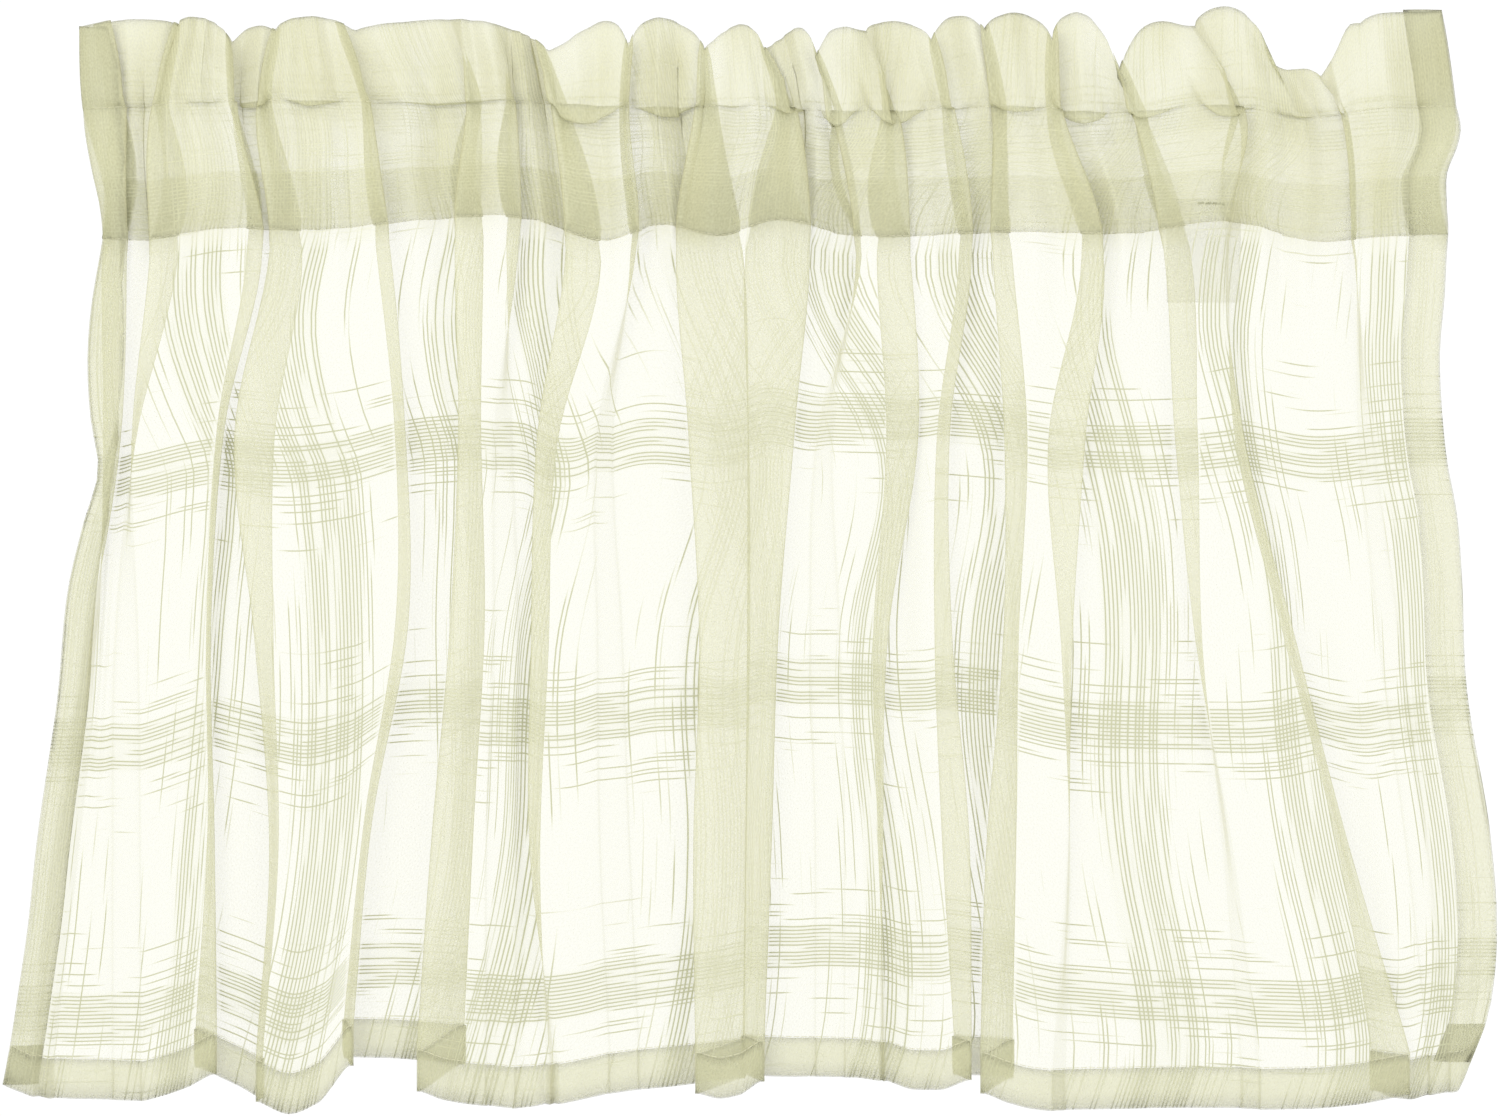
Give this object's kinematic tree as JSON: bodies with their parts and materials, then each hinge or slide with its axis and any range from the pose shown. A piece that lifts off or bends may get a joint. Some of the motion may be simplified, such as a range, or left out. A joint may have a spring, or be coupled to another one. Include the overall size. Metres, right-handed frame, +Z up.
{
  "type": "window valance",
  "caption": "Sheer gathered window valance: a ruffle over a rod pocket, a softly folded skirt with sewn side and lower hems, and a bare care label at the back.",
  "frame": {"origin": "middle of the valance's top edge, on its middle plane", "axes": "+X to the right along the rod, the front faces -Y, +Z up"},
  "size_m": [0.616, 0.0283, 0.4572],
  "materials": {
    "ivory_cloth": "sheer ivory slub cloth with a woven windowpane plaid, matt",
    "label_tape": "plain white woven tape, bare, soft satin"
  },
  "bodies": {
    "root": {"heading": "ivory_cloth", "skirt": "ivory_cloth", "care_label": "label_tape"}
  },
  "joints": []
}
